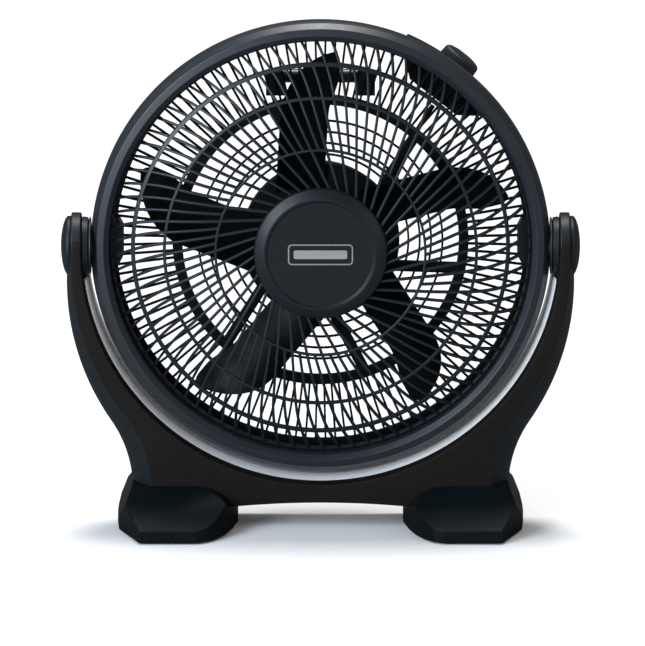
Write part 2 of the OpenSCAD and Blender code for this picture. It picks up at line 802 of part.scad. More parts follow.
module cradle_cavity(z0, z1) {
  bottom = cradle_in_r + cradle_t;
  on_head() difference() {
    translate([0, 0, z0]) linear_extrude(z1 - z0) difference() {
      union() {
        translate([0, -arc_drop]) circle(cradle_out_r - 2 - wall, $fn = 180);
        for (side = [-1, 1]) scale_x(side)
          translate([foot_out - 102 + wall, leg_seat - pivot_h + 18]) square([87 - lip_in - 2 * wall, 40]);
      }
      circle(cradle_in_r + wall, $fn = 180);
      translate([0, -bottom - arch_R]) circle(arch_R + wall, $fn = 180);
      translate([-300, 0]) square([600, 300]);
    }
    for (side = [-1, 1]) translate([side * cradle_in_r, 0, 0]) rotate([0, 90, 0]) rod(34, -40, 40);
    ring_of(shell_screw_angles, cradle_in_r + 7) rod(4.5, -50, 50);
  }
}

shell_screw_angles = [200, 225, 250, 290, 315, 340];

module pivot_holes() {
  for (side = [-1, 1]) on_pivot(side) {
    rod(bush_r, cradle_in_r - 5, cradle_out_r + 20);
    rod(pivot_cap_r + seat_fit / 2, cap_seat, cradle_out_r + 20);
  }
}

module foot_screw_holes() {
  for (side = [-1, 1], y = [-foot_screw_y, foot_screw_y]) translate([side * (foot_out - 55), y, 0]) rod(1.8, 0, 28);
}

module stand_front_shell() {
  color(brown_black) difference() {
    union() {
      cradle_layer(0, arm_r - shell_step, false);
      cradle_layer(arm_r - shell_step - eps, arm_r, true);
    }
    cradle_cavity(-1, arm_r - wall);
    pivot_holes();
    on_head() ring_of(shell_screw_angles, cradle_in_r + 7) rod(1.5, -10, arm_r - 6);
    foot_screw_holes();
  }
}

module stand_rear_shell() {
  color(blue_black) difference() {
    cradle_layer(-arm_r, 0, false);
    cradle_cavity(-arm_r + wall, 1);
    pivot_holes();
    foot_screw_holes();
    on_head() ring_of(shell_screw_angles, cradle_in_r + 7) {
      rod(1.8, -50, 1);
      rod(3.4, -50, -arm_r + 4);
    }
  }
}

module shell_screws() {
  color(steel) on_head()
    ring_of(shell_screw_angles, cradle_in_r + 7) translate([0, 0, -arm_r + 4]) screw(1.5, arm_r + 14, 3.2, 2.2);
}

module silver_trim() {
  color(silver) difference() {
    on_head() intersection() {
      tube(trim_r + trim_t, trim_r, -arm_r + 4, arm_r - 18);
      translate([-300, -300, -60]) cube([600, 300 + arm_r - 6, 120]);
    }
    for (side = [-1, 1]) on_pivot(side) rod(trim_hole_r, trim_r - 10, trim_r + 10);
  }
}

module pivot_cap() {
  dome_h = 8.6;
  dome_base = cradle_out_r + 0.4;
  sphere_r = (pivot_cap_r * pivot_cap_r + dome_h * dome_h) / (2 * dome_h);
  on_pivot(1) difference() {
    union() {
      rod(pivot_cap_r, cap_seat, dome_base);
      intersection() {
        translate([0, 0, dome_base + dome_h - sphere_r]) sphere(sphere_r, $fn = 144);
        rod(pivot_cap_r, dome_base - eps, dome_base + dome_h + 1);
      }
    }
    rod(11.5, cap_seat - 1, cap_seat + 8);
  }
}

module pivot_cap_right() {
  color(blue_black) pivot_cap();
}

module pivot_cap_left() {
  color(blue_black) mirror([1, 0, 0]) pivot_cap();
}

module pivot_bolts() {
  color(steel) for (side = [-1, 1]) on_pivot(side) difference() {
    union() {
      rod(bolt_r, open_r + 5, cap_seat);
      rod(10.5, cap_seat - eps, cap_seat + 5);
    }
    translate([0, 0, cap_seat + 2]) cylinder(h = 10, r = 4.6, $fn = 6);
  }
}

module pivot_nuts() {
  color(steel) for (side = [-1, 1]) on_pivot(side) difference() {
    translate([0, 0, open_r + 5.4]) cylinder(h = 7, r = 10.2, $fn = 6);
    rod(bolt_r + 0.02, open_r, open_r + 20);
  }
}

module arm_bushes() {
  color("#d9d6cc") for (side = [-1, 1]) on_pivot(side) {
    tube(bush_r, bolt_r + 0.02, flange_face, cap_seat);
    tube(trim_hole_r - 1, bolt_r + 0.02, flange_face, cradle_in_r - 0.6);
  }
}

module friction_washers() {
  color(steel) for (side = [-1, 1]) on_pivot(side)
    tube(16.5, bolt_r + 0.02, journal_face + 0.3, flange_face - eps);
}

// ---- Feet ----------------------------------------------------------------------------------

module foot_solid() {
  half = foot_l / 2;
  foot_in = foot_out - 122;
  edge = foot_edge_h;
  intersection() {
    translate([0, 0, pad_h]) linear_extrude(foot_h) polygon([
      [foot_out - 23, -half], [foot_out - 82, -half], [foot_out - 98, -half + 15], [foot_out - 114, -half + 46],
      [foot_in, -10], [foot_in, 10], [foot_out - 114, half - 46], [foot_out - 98, half - 15],
      [foot_out - 82, half], [foot_out - 23, half], [foot_out - 2, 43], [foot_out, 12], [foot_out, -12],
      [foot_out - 2, -43]
    ]);
    rotate([90, 0, 90]) linear_extrude(foot_out + 50) polygon([
      [-half, pad_h], [-half, edge], [-arm_r, foot_h], [arm_r, foot_h], [half, edge], [half, pad_h]
    ]);
    translate([0, foot_l, 0]) rotate([90, 0, 0]) linear_extrude(2 * foot_l) polygon([
      [foot_in, pad_h], [foot_in, edge], [foot_in + 20, foot_h - 4], [foot_in + 28, foot_h],
      [foot_out - 15, foot_h], [foot_out, edge], [foot_out, pad_h]
    ]);
  }
}

// Hollow under the front or back half of a foot, around the post that holds its pad.
module foot_pocket() {
  half = foot_l / 2;
  near = arm_r + 4.5;
  difference() {
    intersection() {
      linear_extrude(foot_h) polygon([
        [foot_out - 28, half - 5], [foot_out - 80, half - 5], [foot_out - 93, half - 19],
        [foot_out - 98, near], [foot_out - 22, near], [foot_out - 22, half - 22]
      ]);
      rotate([90, 0, 90]) linear_extrude(foot_out + 50)
        polygon([[near, -1], [near, foot_h - 7], [half - 5, foot_edge_h - 2], [half - 5, -1]]);
    }
    foot_pad_places() rod(pad_r + 2.5, -1, foot_h);
  }
}

module foot() {
  difference() {
    foot_solid();
    for (back = [0, 1]) mirror([0, back, 0]) foot_pocket();
    on_head() {
      translate([0, 0, -arm_r]) linear_extrude(2 * arm_r - shell_step) cradle_outline(false);
      translate([0, 0, arm_r - shell_step - eps]) linear_extrude(shell_step + eps) cradle_outline(true);
    }
    for (y = [-foot_screw_y, foot_screw_y]) translate([foot_out - 55, y, 0]) {
      rod(2, -1, 30);
      rod(4, -1, pad_h + 3.5);
    }
    foot_pad_places() rod(pad_r, 0, pad_h + 1);
  }
}

pad_r = 9;
foot_screw_y = 20;

module foot_pad_places() {
  for (y = [-1, 1]) translate([foot_out - 60, y * (foot_l / 2 - 24), 0]) children();
}

module foot_right() {
  color(blue_black) foot();
}

module foot_left() {
  color(blue_black) mirror([1, 0, 0]) foot();
}

module foot_pads() {
  color("#0f1010") for (side = [0, 1]) mirror([side, 0, 0]) foot_pad_places() rod(pad_r, 0, pad_h + 1);
}

module foot_screws() {
  color(steel) for (side = [0, 1]) mirror([side, 0, 0])
    for (y = [-foot_screw_y, foot_screw_y]) translate([foot_out - 55, y, pad_h + 3.5]) screw(1.8, 21, 3.6, 2.6);
}

// ---- Nodes ---------------------------------------------------------------------------------

stand_front_shell();
stand_rear_shell();
silver_trim();
foot_left();
foot_right();
foot_pads();
foot_screws();
shell_screws();
pivot_cap_left();
pivot_cap_right();
pivot_bolts();
pivot_nuts();
arm_bushes();
friction_washers();
front_ring();
front_grille();
hub_cap();
badge_plate();
drum();
rear_grille();
pivot_boss_left();
pivot_boss_right();
ring_screws();
guard_screws();
rear_grille_screws();
motor_front_bell();
motor_rear_bell();
stator_stack();
stator_windings();
motor_bearings();
motor_through_bolts();
motor_mount_screws();
rear_motor_cover();
cover_screws();
run_capacitor();
switch_lead();
lead_clips();
switch_housing();
rotary_switch();
switch_nut();
switch_housing_screws();
carry_handle();
handle_screws();
cord_gland();
impeller();
motor_shaft();
rotor_core();
drive_pin();
spinner_nut();
speed_knob();
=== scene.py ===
# %% [markdown]
# # A round floor fan on a tilting cradle
#
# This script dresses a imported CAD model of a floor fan. The CAD gives every size and every joint.
# Here each visible piece is rebuilt as a finer mesh, gets a procedural plastic, metal or rubber,
# and rides on the CAD body that it belongs to. The cells run in order, and each prints what it made.

# %% Load the frame
import json
from math import atan, atan2, cos, degrees, log, pi, radians, sin, sqrt

import bmesh
import bpy
import numpy as np
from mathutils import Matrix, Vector


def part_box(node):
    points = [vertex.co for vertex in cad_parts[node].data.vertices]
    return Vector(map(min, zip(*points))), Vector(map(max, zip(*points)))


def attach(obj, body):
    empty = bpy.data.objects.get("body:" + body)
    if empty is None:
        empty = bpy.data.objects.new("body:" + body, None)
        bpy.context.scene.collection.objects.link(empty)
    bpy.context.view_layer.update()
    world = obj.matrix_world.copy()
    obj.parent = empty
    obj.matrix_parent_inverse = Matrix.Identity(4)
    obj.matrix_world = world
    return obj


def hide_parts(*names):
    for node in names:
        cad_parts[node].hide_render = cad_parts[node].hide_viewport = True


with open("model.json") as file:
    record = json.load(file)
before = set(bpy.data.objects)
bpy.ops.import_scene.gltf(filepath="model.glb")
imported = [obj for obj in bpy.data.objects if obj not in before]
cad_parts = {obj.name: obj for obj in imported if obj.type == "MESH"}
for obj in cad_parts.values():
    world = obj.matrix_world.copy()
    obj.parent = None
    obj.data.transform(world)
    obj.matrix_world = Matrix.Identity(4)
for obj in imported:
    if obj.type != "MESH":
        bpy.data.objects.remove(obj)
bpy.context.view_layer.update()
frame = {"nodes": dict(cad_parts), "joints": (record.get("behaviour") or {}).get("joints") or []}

nodes = frame["nodes"]

# %% [markdown]
# ## Sizes
#
# Lengths are millimetres until a mesh is written, and they come from the CAD where the CAD has them.
# A point of the head is given as (x, h, f): h is the height above the tilt axis, and f the distance
# in front of it, so f is minus Y. A point of the stand uses the same three numbers.

# %% Sizes read from the frame
MM = 0.001


def span(node, axis):
    """Lowest and highest coordinate of a CAD node along one axis, in millimetres."""
    low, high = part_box(node)
    return low[axis] / MM, high[axis] / MM


AXIS_H = frame["joints"][0]["pos_m"][2] / MM
HEAD_R = 232.0
RING_FACE = -span("front_ring", 1)[0]
SEAM = span("front_ring", 1)[1]
OPEN_R = HEAD_R - 18.6
GUARD_R = OPEN_R - 0.2
DOME_FACE = RING_FACE + 15
CAP_R = span("hub_cap", 0)[1]
CAP_FACE = DOME_FACE + 6.5
DRUM_BACK = span("drum", 1)[1]
DRUM_R = HEAD_R - 9
TIP_R = OPEN_R - 16.4
PLATE_R = span("rear_motor_cover", 0)[1]
CRADLE_R = span("silver_trim", 0)[1]
ARM_R = span("stand_rear_shell", 1)[1]
ARM_X = CRADLE_R + 14.5
FOOT_HALF = span("foot_right", 1)[1]
FOOT_IN, FOOT_OUT = span("foot_right", 0)
FOOT_TOP = span("foot_right", 2)[1]
PAD_H = span("foot_right", 2)[0]
KNOB_ANGLE = 52.0
KNOB_BACK = 52.0
print("tilt axis at", round(AXIS_H, 1), "arm", ARM_X, "foot", FOOT_IN, FOOT_OUT)


# %% Helpers for outlines
def rounded(points, radius, steps=4, closed=True, skip=()):
    """The outline with each corner replaced by a short curve of about that radius."""
    out, n = [], len(points)
    for i, p in enumerate(points):
        if i in skip or (not closed and i in (0, n - 1)):
            out.append(tuple(p))
            continue
        a, b, c = (np.array(points[j % n], float) for j in (i - 1, i, i + 1))
        la, lc = np.linalg.norm(a - b), np.linalg.norm(c - b)
        cut = min(radius, 0.45 * la, 0.45 * lc)
        start, end = b + (a - b) / la * cut, b + (c - b) / lc * cut
        for k in range(steps + 1):
            t = k / steps
            out.append(tuple((1 - t) ** 2 * start + 2 * t * (1 - t) * b + t * t * end))
    return out


def arc(cx, cy, r, start, end, count):
    """Points along an arc, with angles in degrees."""
    angles = np.radians(np.linspace(start, end, count))
    return [(cx + r * cos(a), cy + r * sin(a)) for a in angles]


def dome(r):
    """Front of the guard at a radius: flat in the middle, then an arc down to the rim."""
    flat, low = 105.4, 2.0
    run, sag = GUARD_R - flat, DOME_FACE - low
    big = (run * run + sag * sag) / (2 * sag)
    return DOME_FACE if r <= flat else DOME_FACE - big + sqrt(big * big - (r - flat) ** 2)


# %% [markdown]
# A mesh writer takes points as (x, h, f). Quads are smooth shaded, and a weighted-normal modifier keeps
# large flat faces flat beside their small rounded edges.


# %% Helpers for meshes
def piece(name, points, faces, body, material, slot, replaces=(), smooth=True, sharp=None):
    mesh = bpy.data.meshes.new(name)
    pts = np.asarray(points, float)
    world = np.column_stack([pts[:, 0], -pts[:, 2], AXIS_H + pts[:, 1]]) * MM
    mesh.from_pydata([tuple(p) for p in world], [], [tuple(f) for f in faces])
    mesh.validate()
    bm = bmesh.new()
    bm.from_mesh(mesh)
    bmesh.ops.remove_doubles(bm, verts=bm.verts, dist=0.005 * MM)
    bmesh.ops.recalc_face_normals(bm, faces=bm.faces)
    if sharp is not None:
        for e in bm.edges:
            if len(e.link_faces) == 2 and e.calc_face_angle(0) > radians(sharp):
                e.smooth = False
    bm.to_mesh(mesh)
    bm.free()
    obj = bpy.data.objects.new(name, mesh)
    bpy.context.scene.collection.objects.link(obj)
    for poly in mesh.polygons:
        poly.use_smooth = smooth
    if smooth:
        mod = obj.modifiers.new("even normals", "WEIGHTED_NORMAL")
        mod.keep_sharp = True
        mod.weight = 80
    mesh.materials.append(material)
    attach(obj, body)
    if replaces:
        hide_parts(*replaces)
    return obj


class Bag:
    """Collects points and faces of several parts that become one mesh."""

    def __init__(self):
        self.points, self.faces = [], []

    def add(self, points, faces):
        base = len(self.points)
        self.points += [tuple(p) for p in points]
        self.faces += [[base + i for i in f] for f in faces]

    def loops(self, rings, closed_path=False, cap=True):
        """Skins a list of equally long closed rings, and caps the ends."""
        n, m = len(rings[0]), len(rings)
        points = [p for ring in rings for p in ring]
        faces = []
        for i in range(m if closed_path else m - 1):
            a, b = i * n, (i + 1) % m * n
            faces += [[a + j, a + (j + 1) % n, b + (j + 1) % n, b + j] for j in range(n)]
        if cap and not closed_path:
            faces += [list(range(n)), [(m - 1) * n + j for j in range(n)]]
        self.add(points, faces)

    def lathe(self, profile, count=160, cx=0.0, ch=0.0):
        """Spins a closed (r, f) profile round the fan's axis, or one parallel to it."""
        rings = []
        for k in range(count):
            a = 2 * pi * k / count
            rings.append([(cx + r * cos(a), ch + r * sin(a), f) for r, f in profile])
        self.loops(rings, closed_path=True)

    def side_lathe(self, profile, side, count=96):
        """Spins a closed (x, r) profile round the tilt axis."""
        rings = []
        for k in range(count):
            a = 2 * pi * k / count
            rings.append([(side * x, r * sin(a), r * cos(a)) for x, r in profile])
        self.loops(rings, closed_path=True)

    def prism(self, outline, f0, f1, edge=0.4):
        """Extrudes an (x, h) outline from f0 to f1 with a small chamfer on both faces."""
        pts = np.array(outline, float)
        mid = pts.mean(0)
        size = np.abs(pts - mid).max()
        small = mid + (pts - mid) * (1 - edge / size)
        rings = [[(x, h, f) for x, h in ring] for ring, f in
                 ((small, f0), (pts, f0 + edge), (pts, f1 - edge), (small, f1))]
        self.loops(rings)

    def turned(self, degrees_, start=0):
        """Turns the points added since start about the fan's axis."""
        c, s = cos(radians(degrees_)), sin(radians(degrees_))
        self.points[start:] = [(x * c - h * s, x * s + h * c, f) for x, h, f in self.points[start:]]

    def make(self, name, body, material, slot, replaces=(), **more):
        return piece(name, self.points, self.faces, body, material, slot, replaces, **more)


print("helpers ready")

# %% [markdown]
# ## Materials
#
# One node group, `moulded texture`, gives every plastic its fine moulded grain, faint colour drift and
# scuffed roughness. It outputs a colour, a roughness and a bump height, and the Principled BSDF stays in
# each material. Metals share a second group with finer streaks.

# %% Shared texture group for plastics
def socket(group, name, kind, in_out, default=None):
    item = group.interface.new_socket(name=name, in_out=in_out, socket_type=kind)
    if default is not None:
        item.default_value = default
    return item


def node(tree, kind, x=0, y=0, **values):
    """Adds a shader node and sets its properties or inputs by name."""
    made = tree.nodes.new(kind)
    made.location = (x, y)
    for key, value in values.items():
        name = key.replace("_", " ")
        if hasattr(made, key):
            setattr(made, key, value)
        else:
            made.inputs[name.title() if name.title() in made.inputs else name].default_value = value
    return made


def texture_group(name, stretch=(1, 1, 1)):
    """Group that turns a base colour into a drifting colour, a roughness and a bump height."""
    g = bpy.data.node_groups.new(name, "ShaderNodeTree")
    socket(g, "Colour", "NodeSocketColor", "INPUT", (0.02, 0.02, 0.02, 1))
    socket(g, "Tint", "NodeSocketColor", "INPUT", (0.03, 0.03, 0.03, 1))
    socket(g, "Roughness", "NodeSocketFloat", "INPUT", 0.4)
    socket(g, "Grain size", "NodeSocketFloat", "INPUT", 1200.0)
    socket(g, "Colour", "NodeSocketColor", "OUTPUT")
    socket(g, "Roughness", "NodeSocketFloat", "OUTPUT")
    socket(g, "Height", "NodeSocketFloat", "OUTPUT")
    gin, gout = g.nodes.new("NodeGroupInput"), g.nodes.new("NodeGroupOutput")
    coord = g.nodes.new("ShaderNodeTexCoord")
    mapping = node(g, "ShaderNodeMapping")
    mapping.inputs["Scale"].default_value = stretch
    grain = node(g, "ShaderNodeTexNoise", detail=2.0, roughness=0.6)
    drift = node(g, "ShaderNodeTexNoise", scale=9.0, detail=3.0)
    scuff = node(g, "ShaderNodeTexNoise", scale=70.0, detail=6.0, roughness=0.7)
    ramp = node(g, "ShaderNodeMapRange")
    ramp.inputs["From Min"].default_value, ramp.inputs["From Max"].default_value = 0.35, 0.7
    mix = node(g, "ShaderNodeMix", data_type="RGBA")
    rough = node(g, "ShaderNodeMath", operation="MULTIPLY_ADD")
    rough.inputs[1].default_value = 0.16
    centre = node(g, "ShaderNodeMath", operation="SUBTRACT")
    centre.inputs[1].default_value = 0.08
    link = g.links.new
    link(coord.outputs["Object"], mapping.inputs["Vector"])
    for tex in (grain, drift, scuff):
        link(mapping.outputs["Vector"], tex.inputs["Vector"])
    link(gin.outputs["Grain size"], grain.inputs["Scale"])
    link(drift.outputs["Fac"], ramp.inputs["Value"])
    link(ramp.outputs["Result"], mix.inputs["Factor"])
    link(gin.outputs["Colour"], mix.inputs["A"])
    link(gin.outputs["Tint"], mix.inputs["B"])
    link(mix.outputs["Result"], gout.inputs["Colour"])
    link(scuff.outputs["Fac"], rough.inputs[0])
    link(gin.outputs["Roughness"], centre.inputs[0])
    link(centre.outputs["Value"], rough.inputs[2])
    link(rough.outputs["Value"], gout.inputs["Roughness"])
    link(grain.outputs["Fac"], gout.inputs["Height"])
    return g


moulded = texture_group("moulded texture")
brushed = texture_group("brushed texture", (1.0, 1.0, 14.0))
print("texture groups:", moulded.name, brushed.name)


# %% [markdown]
# Each material sets the group's inputs and feeds its three outputs to a Principled BSDF. Colours are
# linear. The plastics are near black with a blue, green or brown tint, and the strip is silver plated.
# The cradle's plastic has two copies: a darker brownish one as painted shade and a lighter bluish one as
# painted light.


# %% Make the materials
def surface(name, colour, tint, roughness, grain=1200.0, bump=0.05, group=moulded, metal=0.0,
            spec=0.5):
    """A material that feeds the texture group's outputs to a Principled BSDF."""
    mat = bpy.data.materials.new(name)
    mat.use_nodes = True
    tree = mat.node_tree
    bsdf = tree.nodes["Principled BSDF"]
    tex = tree.nodes.new("ShaderNodeGroup")
    tex.node_tree = group
    tex.inputs["Colour"].default_value = (*colour, 1)
    tex.inputs["Tint"].default_value = (*tint, 1)
    tex.inputs["Roughness"].default_value = roughness
    tex.inputs["Grain size"].default_value = grain
    bump_node = tree.nodes.new("ShaderNodeBump")
    bump_node.inputs["Strength"].default_value = 0.6
    bump_node.inputs["Distance"].default_value = bump * MM
    bsdf.inputs["Metallic"].default_value = metal
    bsdf.inputs["Specular IOR Level"].default_value = spec
    link = tree.links.new
    link(tex.outputs["Colour"], bsdf.inputs["Base Color"])
    link(tex.outputs["Roughness"], bsdf.inputs["Roughness"])
    link(tex.outputs["Height"], bump_node.inputs["Height"])
    link(bump_node.outputs["Normal"], bsdf.inputs["Normal"])
    return mat


ring_mat = surface("ring_plastic", (0.0095, 0.0140, 0.0200), (0.0125, 0.0175, 0.0245), 0.42,
                   spec=0.8)
guard_mat = surface("guard_plastic", (0.006, 0.011, 0.017), (0.009, 0.014, 0.021), 0.42)
rear_mat = surface("rear_guard_plastic", (0.0015, 0.0025, 0.0025), (0.0025, 0.0035, 0.0035), 0.5,
                   spec=0.3)
cap_mat = surface("hub_cap_plastic", (0.0045, 0.0075, 0.011), (0.006, 0.009, 0.0135), 0.44)
blade_mat = surface("blade_plastic", (0.0008, 0.0018, 0.0014), (0.0012, 0.0026, 0.002), 0.45,
                    bump=0.02, spec=0.25)
# The cradle plastic has two copies: this darker brownish one, and a lighter bluish one for the sides. The
# difference between them is painted shade and painted light, chosen by which way a face points.
face_mat = surface("cradle_plastic", (0.0066, 0.0042, 0.0034), (0.0088, 0.0060, 0.0050), 0.62,
                   900.0, 0.08, spec=0.25)
# Lighter, bluer copy of the cradle plastic: painted light on surfaces that face sideways.
painted_side_light_mat = surface("cradle_plastic_painted_side_light", (0.0040, 0.0085, 0.0115), (0.0060, 0.0105, 0.0145), 0.5,
                   900.0, 0.08, spec=0.4)
foot_mat = surface("foot_plastic", (0.0016, 0.0048, 0.0058), (0.0028, 0.0064, 0.0078), 0.45,
                   900.0, 0.08, spec=0.2)
knob_mat = surface("knob_plastic", (0.012, 0.015, 0.019), (0.016, 0.019, 0.024), 0.5)
rubber_mat = surface("rubber", (0.006, 0.006, 0.006), (0.010, 0.010, 0.010), 0.8, 700.0, 0.1)
nylon_mat = surface("nylon", (0.006, 0.009, 0.011), (0.009, 0.012, 0.014), 0.45)
bakelite_mat = surface("switch_body", (0.45, 0.40, 0.28), (0.52, 0.47, 0.34), 0.5)
case_mat = surface("capacitor_case", (0.66, 0.66, 0.63), (0.72, 0.72, 0.69), 0.35)
silver_mat = surface("silver_plating", (0.90, 0.90, 0.93), (0.98, 0.98, 0.99), 0.42, 2600.0, 0.04,
                     brushed, 0.1)
steel_mat = surface("zinc_steel", (0.50, 0.50, 0.50), (0.58, 0.58, 0.57), 0.32, 900.0, 0.02,
                    brushed, 1.0)
badge_mat = surface("badge_metal", (0.27, 0.25, 0.26), (0.34, 0.32, 0.33), 0.45, 1500.0, 0.02,
                    brushed, 0.3)
cast_mat = surface("cast_aluminium", (0.42, 0.43, 0.44), (0.5, 0.5, 0.51), 0.55, 500.0, 0.1, metal=1.0)
stack_mat = surface("stack_steel", (0.16, 0.165, 0.17), (0.22, 0.22, 0.22), 0.5, 900.0, 0.1,
                    brushed, 0.8)
copper_mat = surface("copper_wire", (0.55, 0.22, 0.08), (0.62, 0.28, 0.11), 0.35, 1800.0, 0.1,
                     brushed, 0.9)
print("materials:", len(bpy.data.materials))

# %% [markdown]
# ## Front ring and drum
#
# The ring is a lathed shell: a steep chamfer inside, a flat face band, and a soft outer shoulder. Its
# back half, the drum, tapers towards the rear flange.

# %% Ring and drum
ring = Bag()
ring.lathe(rounded([
    (OPEN_R, -2), (OPEN_R, RING_FACE - 5), (OPEN_R + 5.1, RING_FACE), (HEAD_R - 6.5, RING_FACE - 1.5),
    (HEAD_R - 1.6, RING_FACE - 8), (HEAD_R - 0.3, RING_FACE - 13), (HEAD_R - 1.0, -SEAM + 0.8),
    (HEAD_R - 1.8, -SEAM), (HEAD_R - 3.4, -SEAM), (HEAD_R - 3.2, RING_FACE - 12.5),
    (HEAD_R - 8, RING_FACE - 4.6), (OPEN_R + 5.6, RING_FACE - 3), (OPEN_R + 2.6, RING_FACE - 6),
    (OPEN_R + 2.6, -2),
], 0.55, 3), 240)
ring.make("front_ring_shell", "head", ring_mat, "head_plastic", ["front_ring"], sharp=24)

shell = Bag()
shell.lathe(rounded([
    (HEAD_R - 1.6, -SEAM - 0.5), (HEAD_R - 4, -SEAM - 12), (DRUM_R, -DRUM_BACK),
    (OPEN_R - 6.4, -DRUM_BACK),
    (OPEN_R - 6.4, -DRUM_BACK + 2.6), (DRUM_R - 2.6, -DRUM_BACK + 2.6), (HEAD_R - 5.6, -SEAM - 11.4),
    (HEAD_R - 3, -SEAM - 0.5),
], 1.6), 240)
shell.make("drum_shell", "head", ring_mat, "head_plastic", ["drum"])
print("ring radius", HEAD_R, "opening", OPEN_R)

# %% [markdown]
# ## Front guard
#
# Straight bars run past the fan's axis at a fixed distance. Half of them start at the hub plate and half
# at the inner ring. Each bar is swept along the dome with rounded front edges.

# %% Front guard
BARS, MISS, FLAT_R = 43, 35.3, 105.4
FIRST_BAR = 5.86


def bend(r):
    """Extra turn of a bar beyond the middle ring, where the bars sweep round."""
    return 0.0062 * ((r - 157) - 157 * log(r / 157)) if r > 157 else 0.0


def bar_rings(r_in, r_out, width=2.8, depth=4.0, count=16):
    """Cross-sections of one bar along +x, at minus MISS from the axis."""
    s_flat, s_end = sqrt(FLAT_R**2 - MISS**2), sqrt(r_out**2 - MISS**2)
    s_in = sqrt(r_in**2 - MISS**2)
    stations = ([s_in] if s_in < s_flat - 1 else []) + list(np.linspace(s_flat, s_end, count))
    w = width / 2
    section = [(-w, depth), (-w, 0.8), (-w * 0.75, 0.2), (-w * 0.35, 0), (w * 0.35, 0), (w * 0.75, 0.2),
               (w, 0.8), (w, depth)]
    rings = []
    for s in stations:
        r = sqrt(s * s + MISS * MISS)
        slope = (dome(r + 0.5) - dome(r - 0.5)) * s / r
        norm = sqrt(1 + slope * slope)
        c, q = cos(bend(r)), sin(bend(r))
        ring = [(s + d * slope / norm, y - MISS, dome(r) - d / norm) for y, d in section]
        rings.append([(x * c - y * q, x * q + y * c, f) for x, y, f in ring])
    return rings


guard = Bag()
for k in range(BARS):
    for r_in, turn in ((62, k), (FLAT_R, k + 0.5)):
        start = len(guard.points)
        guard.loops(bar_rings(r_in, GUARD_R - 1.5))
        guard.turned(FIRST_BAR + turn * 360 / BARS, start)
for r, w in ((FLAT_R, 2.6), (OPEN_R - 56.4, 3.2), (OPEN_R - 24.4, 4.2)):
    lo, hi = r - w / 2, r + w / 2
    guard.lathe(rounded([
        (lo, dome(hi) - 4.4), (lo, dome(lo) + 0.25), (hi, dome(hi) + 0.35), (hi, dome(hi) - 4.4),
    ], 0.9, 3), 200)
guard.lathe(rounded([
    (GUARD_R - 3.6, -6), (GUARD_R - 3.6, 2.4), (GUARD_R - 2.6, 3.2), (GUARD_R, 2), (GUARD_R, -6),
], 0.6, 2), 200)
guard.lathe([(0, DOME_FACE - 5), (65, DOME_FACE - 5), (65, DOME_FACE - 1), (0, DOME_FACE - 1)], 96)
guard.make("front_guard", "head", guard_mat, "grille_plastic", ["front_grille"], sharp=50)
print("guard bars:", 2 * BARS)

# %% [markdown]
# ## Hub cap and badge
#
# The cap is one lathed skin with a sunk middle, a narrow raised bead and a sloping rim. The badge is a
# blank plate in a thin frame.

# %% Hub cap and badge
cap = Bag()
cap.lathe(rounded([
    (0.01, CAP_FACE), (53.4, CAP_FACE), (54.8, CAP_FACE + 1.9), (57.4, CAP_FACE + 1.7),
    (62, CAP_FACE - 0.9), (CAP_R - 1.2, CAP_FACE - 3.6), (CAP_R, CAP_FACE - 6.4),
    (CAP_R - 2.2, CAP_FACE - 6.4),
    (CAP_R - 5, CAP_FACE - 4.2), (0.01, CAP_FACE - 3.4),
], 0.9, 3, skip=(0, 9)), 200)
cap.make("hub_cap_shell", "head", cap_mat, "head_plastic", ["hub_cap"])


def plate_outline(w, h, corner):
    """A rectangle with round corners, anticlockwise."""
    out = []
    for sx, sy, a in ((1, 1, 0), (-1, 1, 90), (-1, -1, 180), (1, -1, 270)):
        out += arc(sx * (w / 2 - corner), sy * (h / 2 - corner), corner, a, a + 90, 7)
    return out


def frame_ring(bag, outer, inner, f0, f1):
    """A flat frame between two outlines with the same number of points."""
    bag.loops([
        [(x, h, f0) for x, h in outer], [(x, h, f1 - 0.2) for x, h in outer],
        [(x * 0.997, h * 0.99, f1) for x, h in outer], [(x * 1.003, h * 1.02, f1) for x, h in inner],
        [(x, h, f1 - 0.2) for x, h in inner], [(x, h, f0) for x, h in inner],
    ], closed_path=True)


badge = Bag()
frame_ring(badge, plate_outline(65.4, 21.4, 4), plate_outline(62.6, 18.6, 2.8),
           CAP_FACE - 0.6, CAP_FACE + 0.9)
badge.prism(plate_outline(54, 9, 2), CAP_FACE - 0.6, CAP_FACE + 0.5, 0.3)
badge.make("badge_frame", "head", badge_mat, "badge_metal", ["badge_plate"], sharp=40)
print("hub cap face at", round(CAP_FACE, 1))

# %% [markdown]
# ## Rear guard
#
# Behind the blades a strong band splits the guard: short radial bars outside it, thin rings inside it,
# and six struts that carry the motor plate. Like the front bars, the struts miss the axis.

